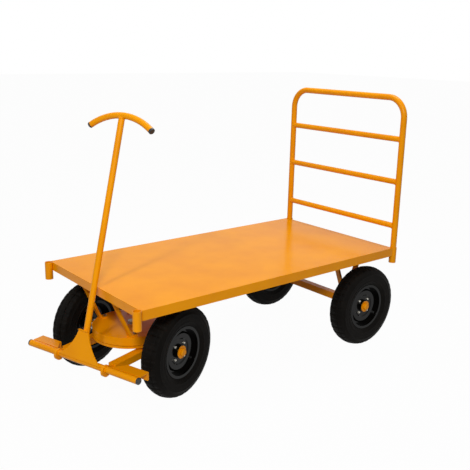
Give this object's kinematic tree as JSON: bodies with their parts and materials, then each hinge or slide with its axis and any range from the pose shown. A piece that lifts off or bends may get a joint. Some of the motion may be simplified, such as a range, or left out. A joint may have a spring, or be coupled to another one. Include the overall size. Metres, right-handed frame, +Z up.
{
  "type": "platform trolley",
  "caption": "Flatbed hand trolley with turntable front steering, upright drawbar, pneumatic wheels, corner stake sockets and a lift-out tubular end hoop.",
  "frame": {"origin": "on the floor, below the deck's centre, midway between the four stake sockets", "axes": "+X forward towards the drawbar, +Y to the trolley's left, +Z up; stored with the front wheels turned 16.8 degrees to the left and the drawbar leaning back"},
  "size_m": [1.7141, 0.785, 1.23],
  "materials": {
    "yellow_enamel": "gloss",
    "black_enamel": "gloss",
    "tyre_rubber": "matte",
    "black_plastic": "satin",
    "zinc_steel": "satin"
  },
  "bodies": {
    "chassis": {"deck_sheet": "yellow_enamel", "side_rail_left": "yellow_enamel", "side_rail_right": "yellow_enamel", "end_member_front": "yellow_enamel", "end_member_rear": "yellow_enamel", "deck_bearers": "yellow_enamel", "stake_socket_front_left": "yellow_enamel", "stake_socket_front_right": "yellow_enamel", "stake_socket_rear_left": "yellow_enamel", "stake_socket_rear_right": "yellow_enamel", "socket_rings": "yellow_enamel", "rear_axle": "yellow_enamel", "rear_axle_nuts": "zinc_steel", "rear_struts_left": "yellow_enamel", "rear_struts_right": "yellow_enamel", "turntable_struts_front": "yellow_enamel", "turntable_struts_rear": "yellow_enamel", "turntable_upper": "yellow_enamel", "turntable_balls": "zinc_steel", "kingpin": "zinc_steel", "kingpin_nut": "zinc_steel"},
    "hoop": {"end_hoop": "yellow_enamel", "hoop_rungs": "yellow_enamel"},
    "front_bogie": {"turntable_lower": "yellow_enamel", "front_axle": "yellow_enamel", "front_axle_nuts": "zinc_steel", "steering_arm_left": "yellow_enamel", "steering_arm_right": "yellow_enamel"},
    "drawbar": {"cross_tube": "yellow_enamel", "cross_tube_cap_left": "black_plastic", "cross_tube_cap_right": "black_plastic", "drawbar_stem": "yellow_enamel", "drawbar_grip": "yellow_enamel", "grip_cap_left": "black_plastic", "grip_cap_right": "black_plastic", "yoke_plate": "yellow_enamel", "brake_plate_left": "yellow_enamel", "brake_plate_right": "yellow_enamel", "brake_shoe_left": "yellow_enamel", "brake_shoe_right": "yellow_enamel"},
    "wheel_front_left": {"tyre_front_left": "tyre_rubber", "rim_front_left": "black_enamel", "hub_front_left": "yellow_enamel", "hub_cap_front_left": "yellow_enamel", "bearings_front_left": "zinc_steel"},
    "wheel_front_right": {"tyre_front_right": "tyre_rubber", "rim_front_right": "black_enamel", "hub_front_right": "yellow_enamel", "hub_cap_front_right": "yellow_enamel", "bearings_front_right": "zinc_steel"},
    "wheel_rear_left": {"tyre_rear_left": "tyre_rubber", "rim_rear_left": "black_enamel", "hub_rear_left": "yellow_enamel", "hub_cap_rear_left": "yellow_enamel", "bearings_rear_left": "zinc_steel"},
    "wheel_rear_right": {"tyre_rear_right": "tyre_rubber", "rim_rear_right": "black_enamel", "hub_rear_right": "yellow_enamel", "hub_cap_rear_right": "yellow_enamel", "bearings_rear_right": "zinc_steel"}
  },
  "joints": [
    {"name": "steering", "type": "hinge", "parent": "chassis", "child": "front_bogie", "pos_m": [0.55, 0, 0.225], "axis": [0, 0, 1], "range_deg": [-39, 5]},
    {"name": "drawbar_pivot", "type": "hinge", "parent": "front_bogie", "child": "drawbar", "pos_m": [0.83624, 0.08642, 0.1945], "axis": [-0.289, 0.9573, 0], "range_deg": [0, 105]},
    {"name": "hoop_lift", "type": "slide", "parent": "chassis", "child": "hoop", "axis": [0, 0, 1], "range_m": [0, 0.08]},
    {"name": "spin_front_left", "type": "hinge", "parent": "front_bogie", "child": "wheel_front_left", "pos_m": [0.47644, 0.24364, 0.2], "axis": [-0.289, 0.9573, 0], "continuous": true},
    {"name": "spin_front_right", "type": "hinge", "parent": "front_bogie", "child": "wheel_front_right", "pos_m": [0.62356, -0.24364, 0.2], "axis": [-0.289, 0.9573, 0], "continuous": true},
    {"name": "spin_rear_left", "type": "hinge", "parent": "chassis", "child": "wheel_rear_left", "pos_m": [-0.576, 0.3405, 0.2], "axis": [0, 1, 0], "continuous": true},
    {"name": "spin_rear_right", "type": "hinge", "parent": "chassis", "child": "wheel_rear_right", "pos_m": [-0.576, -0.3405, 0.2], "axis": [0, 1, 0], "continuous": true}
  ]
}
